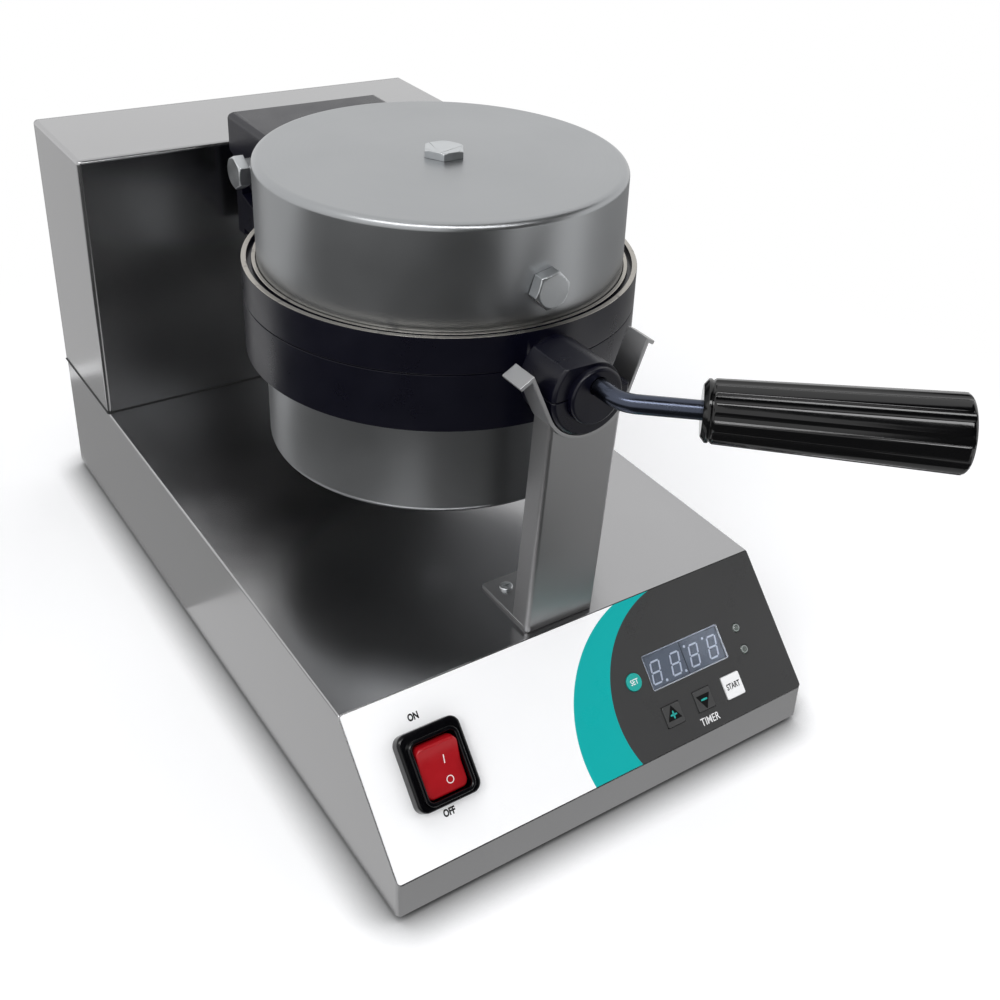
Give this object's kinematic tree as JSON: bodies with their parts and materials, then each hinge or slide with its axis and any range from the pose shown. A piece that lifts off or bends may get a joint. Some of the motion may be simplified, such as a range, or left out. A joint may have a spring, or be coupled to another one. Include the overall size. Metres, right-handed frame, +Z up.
{
  "type": "belgian waffle maker",
  "caption": "Rotary waffle baker: round baking head that flips on a rear tower, hinged lid, bent handle with fluted grip, steel base with sloped timer panel.",
  "frame": {"origin": "under the middle of the outline of the whole machine, on the surface that its feet stand on", "axes": "+X to the right as seen from the control panel, +Y from the control panel to the tower, +Z up"},
  "size_m": [0.2524, 0.5542, 0.2943],
  "materials": {
    "stainless": "brushed",
    "galvanised": "dull",
    "zinc": "zinc plated",
    "dark_steel": "blackened",
    "rod_steel": "polished",
    "bronze": "satin",
    "foot_rubber": "matt",
    "panel_film": "printed satin film",
    "window_red": "gloss",
    "digit_black": "matt",
    "board_green": "satin",
    "lamp_clear": "clear",
    "bezel_black": "satin",
    "rocker_red": "gloss",
    "key_grey": "satin",
    "key_white": "satin",
    "gland_black": "satin",
    "block_white": "satin",
    "relay_black": "satin",
    "cast_black": "black enamel",
    "grid_iron": "seasoned",
    "heater_steel": "heat tinted",
    "wool": "mineral wool",
    "grip_bakelite": "gloss"
  },
  "bodies": {
    "base": {"base_housing": "stainless", "base_bottom_plate": "galvanised", "bottom_screws": "zinc", "rubber_feet": "foot_rubber", "foot_screws": "zinc", "tower_housing": "stainless", "tower_screws": "zinc", "tower_back_cover": "stainless", "bearing_frame": "galvanised", "frame_bolts": "zinc", "shaft_bushes": "bronze", "stop_pins": "dark_steel", "support_post": "stainless", "support_saddle": "stainless", "post_screws": "zinc", "control_panel_film": "panel_film", "display_window": "window_red", "display_module": "digit_black", "control_board": "board_green", "board_standoffs": "zinc", "board_nuts": "zinc", "tact_switches": "digit_black", "indicator_lamps": "lamp_clear", "switch_body": "bezel_black", "cable_gland": "gland_black", "terminal_block": "block_white", "power_relay": "relay_black"},
    "head": {"pivot_shaft": "dark_steel", "shaft_collar": "dark_steel", "flange_bolts": "zinc", "hinge_bracket": "cast_black", "bracket_screws": "zinc", "hinge_bolts": "zinc", "hinge_spacers": "zinc", "lower_ring": "cast_black", "lower_grid": "grid_iron", "lower_heater": "heater_steel", "lower_heater_clamp": "galvanised", "lower_clamp_nuts": "zinc", "lower_insulation": "wool", "lower_cover": "stainless", "lower_cover_bolt": "zinc"},
    "lid": {"upper_ring": "cast_black", "upper_grid": "grid_iron", "upper_heater": "heater_steel", "upper_heater_clamp": "galvanised", "upper_clamp_nuts": "zinc", "upper_insulation": "wool", "upper_cover": "stainless", "upper_cover_bolt": "zinc", "side_bolt": "zinc", "handle_rod": "rod_steel", "handle_grip": "grip_bakelite", "rod_set_screw": "dark_steel"},
    "rocker": {"switch_rocker": "rocker_red"},
    "set_button": {"set_key": "key_grey"},
    "up_button": {"up_key": "key_white"},
    "down_button": {"down_key": "key_white"},
    "start_button": {"start_key": "key_white"}
  },
  "joints": [
    {"name": "head_flip", "type": "hinge", "parent": "base", "child": "head", "pos_m": [0, 0.17757, 0.22], "axis": [0, 1, 0], "range_deg": [-180, 0]},
    {"name": "lid_hinge", "type": "hinge", "parent": "head", "child": "lid", "pos_m": [0, 0.11657, 0.2475], "axis": [-1, 0, 0], "range_deg": [0, 100]},
    {"name": "switch_tilt", "type": "hinge", "parent": "base", "child": "rocker", "pos_m": [-0.0897, -0.16662, 0.0565], "axis": [-1, 0, 0], "range_deg": [0, 24]},
    {"name": "set_press", "type": "slide", "parent": "base", "child": "set_button", "axis": [0, 0.7164, -0.6977], "range_m": [0, 0.0005], "stiffness_N_per_m": 400, "springref_m": -0.0002},
    {"name": "up_press", "type": "slide", "parent": "base", "child": "up_button", "axis": [0, 0.7164, -0.6977], "range_m": [0, 0.0005], "stiffness_N_per_m": 400, "springref_m": -0.0002},
    {"name": "down_press", "type": "slide", "parent": "base", "child": "down_button", "axis": [0, 0.7164, -0.6977], "range_m": [0, 0.0005], "stiffness_N_per_m": 400, "springref_m": -0.0002},
    {"name": "start_press", "type": "slide", "parent": "base", "child": "start_button", "axis": [0, 0.7164, -0.6977], "range_m": [0, 0.0005], "stiffness_N_per_m": 400, "springref_m": -0.0002}
  ]
}
